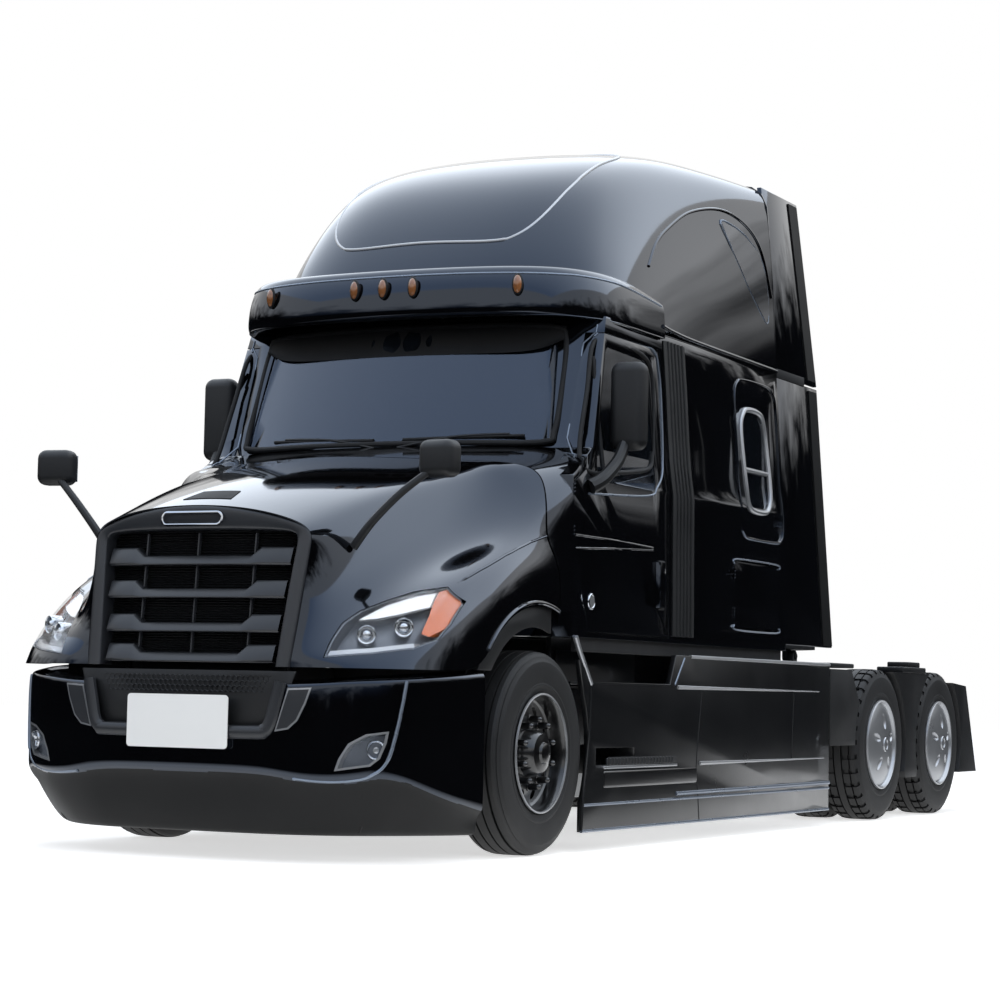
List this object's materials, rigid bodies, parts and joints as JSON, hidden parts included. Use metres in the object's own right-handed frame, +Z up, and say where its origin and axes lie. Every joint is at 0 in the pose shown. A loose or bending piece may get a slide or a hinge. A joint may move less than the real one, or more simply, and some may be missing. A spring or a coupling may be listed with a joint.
{
  "type": "semi truck tractor unit",
  "caption": "Long-nose road tractor with a high-roof sleeper cab, tilting hood, steered front wheels, tandem drive axles and a tilting coupling plate.",
  "frame": {"origin": "on the ground under the middle of the truck's bounding box", "axes": "+Z up, the truck faces -Y, +X is its left side"},
  "size_m": [2.76, 9.033, 4.1049],
  "materials": {
    "body_paint": "gloss clear-coated black",
    "chassis_paint": "satin black chassis paint",
    "black_plastic": "matt grained",
    "bright_chrome": "polished",
    "aluminium_trim": "brushed",
    "cast_iron": "as cast, painted",
    "tyre": "matt rubber",
    "black_steel": "gloss black",
    "tinted_glass": "clear, tinted",
    "satin_grey_plastic": "satin grey",
    "clear_lens": "clear",
    "amber_lens": "clear amber",
    "red_lens": "clear red",
    "cabin_fabric": "woven",
    "brushed_cover": "satin silver"
  },
  "bodies": {
    "hood": {"hood_shell": "body_paint", "grille": "satin_grey_plastic", "headlamp_lenses": "clear_lens", "headlamp_bowls": "bright_chrome", "hood_mirrors": "black_plastic", "arch_liners": "black_plastic"},
    "tie_rod": {"tie_rod": "cast_iron"},
    "fifth_wheel": {"fifth_wheel_plate": "cast_iron"},
    "door_left": {"door_left": "body_paint", "door_glass_left": "tinted_glass", "mirror_left": "black_plastic"},
    "locker_left": {"locker_door_left": "body_paint"},
    "knuckle_left": {"knuckle_left": "cast_iron"},
    "front_wheel_left": {"front_tyre_left": "tyre", "front_wheel_left": "black_steel"},
    "drive_wheels_front_left": {"drive_tyres_front_left": "tyre", "drive_wheels_front_left": "brushed_cover"},
    "drive_wheels_rear_left": {"drive_tyres_rear_left": "tyre", "drive_wheels_rear_left": "brushed_cover"},
    "door_right": {"door_right": "body_paint", "door_glass_right": "tinted_glass", "mirror_right": "black_plastic"},
    "locker_right": {"locker_door_right": "body_paint"},
    "knuckle_right": {"knuckle_right": "cast_iron"},
    "front_wheel_right": {"front_tyre_right": "tyre", "front_wheel_right": "black_steel"},
    "drive_wheels_front_right": {"drive_tyres_front_right": "tyre", "drive_wheels_front_right": "brushed_cover"},
    "drive_wheels_rear_right": {"drive_tyres_rear_right": "tyre", "drive_wheels_rear_right": "brushed_cover"},
    "truck": {"bumper": "body_paint", "bumper_mesh": "black_plastic", "cab_shell": "body_paint", "chassis_fairings": "body_paint", "cowl": "body_paint", "dashboard": "black_plastic", "deck_plate": "aluminium_trim", "drive_axles": "cast_iron", "engine_block": "cast_iron", "fifth_wheel_base": "cast_iron", "fog_lamps": "clear_lens", "frame_rails": "chassis_paint", "front_axle": "cast_iron", "fuel_tanks": "aluminium_trim", "marker_lamps": "amber_lens", "radiator": "aluminium_trim", "rear_suspension": "cast_iron", "roof_fairing": "body_paint", "seats_and_bunk": "cabin_fabric", "side_extenders": "body_paint", "sleeper_windows": "tinted_glass", "steering_wheel": "black_plastic", "steps": "aluminium_trim", "tail_lamps": "red_lens", "tandem_fenders": "black_plastic", "visor": "body_paint", "windshield": "tinted_glass"}
  },
  "joints": [
    {"name": "hood_tilt", "type": "hinge", "parent": "truck", "child": "hood", "pos_m": [0, -4.445, 0.78], "axis": [1, 0, 0], "range_deg": [0, 75]},
    {"name": "door_hinge_left", "type": "hinge", "parent": "truck", "child": "door_left", "pos_m": [1.195, -2.729, 1.75], "axis": [0, 0, -1], "range_deg": [0, 65]},
    {"name": "locker_hinge_left", "type": "hinge", "parent": "truck", "child": "locker_left", "pos_m": [1.2, -0.477, 1.41], "axis": [0, 0, -1], "range_deg": [0, 90]},
    {"name": "steer_left", "type": "hinge", "parent": "truck", "child": "knuckle_left", "pos_m": [0.93, -3.07, 0.51], "axis": [0, 0, 1], "range_deg": [-35, 35]},
    {"name": "front_wheel_spin_left", "type": "hinge", "parent": "knuckle_left", "child": "front_wheel_left", "pos_m": [1.06, -3.07, 0.51], "axis": [1, 0, 0], "continuous": true},
    {"name": "drive_spin_front_left", "type": "hinge", "parent": "truck", "child": "drive_wheels_front_left", "pos_m": [0.92, 2.235, 0.51], "axis": [1, 0, 0], "continuous": true},
    {"name": "drive_spin_rear_left", "type": "hinge", "parent": "truck", "child": "drive_wheels_rear_left", "pos_m": [0.92, 3.555, 0.51], "axis": [1, 0, 0], "continuous": true},
    {"name": "door_hinge_right", "type": "hinge", "parent": "truck", "child": "door_right", "pos_m": [-1.195, -2.729, 1.75], "axis": [0, 0, 1], "range_deg": [0, 65]},
    {"name": "locker_hinge_right", "type": "hinge", "parent": "truck", "child": "locker_right", "pos_m": [-1.2, -0.477, 1.41], "axis": [0, 0, 1], "range_deg": [0, 90]},
    {"name": "steer_right", "type": "hinge", "parent": "truck", "child": "knuckle_right", "pos_m": [-0.93, -3.07, 0.51], "axis": [0, 0, 1], "range_deg": [-35, 35]},
    {"name": "front_wheel_spin_right", "type": "hinge", "parent": "knuckle_right", "child": "front_wheel_right", "pos_m": [-1.06, -3.07, 0.51], "axis": [1, 0, 0], "continuous": true},
    {"name": "drive_spin_front_right", "type": "hinge", "parent": "truck", "child": "drive_wheels_front_right", "pos_m": [-0.92, 2.235, 0.51], "axis": [1, 0, 0], "continuous": true},
    {"name": "drive_spin_rear_right", "type": "hinge", "parent": "truck", "child": "drive_wheels_rear_right", "pos_m": [-0.92, 3.555, 0.51], "axis": [1, 0, 0], "continuous": true},
    {"name": "tie_rod_pivot", "type": "hinge", "parent": "knuckle_left", "child": "tie_rod", "pos_m": [0.86, -2.88, 0.373], "axis": [0, 0, 1], "range_deg": [-35, 35]},
    {"name": "fifth_wheel_tilt", "type": "hinge", "parent": "truck", "child": "fifth_wheel", "pos_m": [0, 2.775, 1.11], "axis": [1, 0, 0], "range_deg": [-12, 12]}
  ],
  "couplings": [
    {"joint": "steer_right", "follows": "steer_left", "ratio": 1},
    {"joint": "tie_rod_pivot", "follows": "steer_left", "ratio": -1}
  ]
}
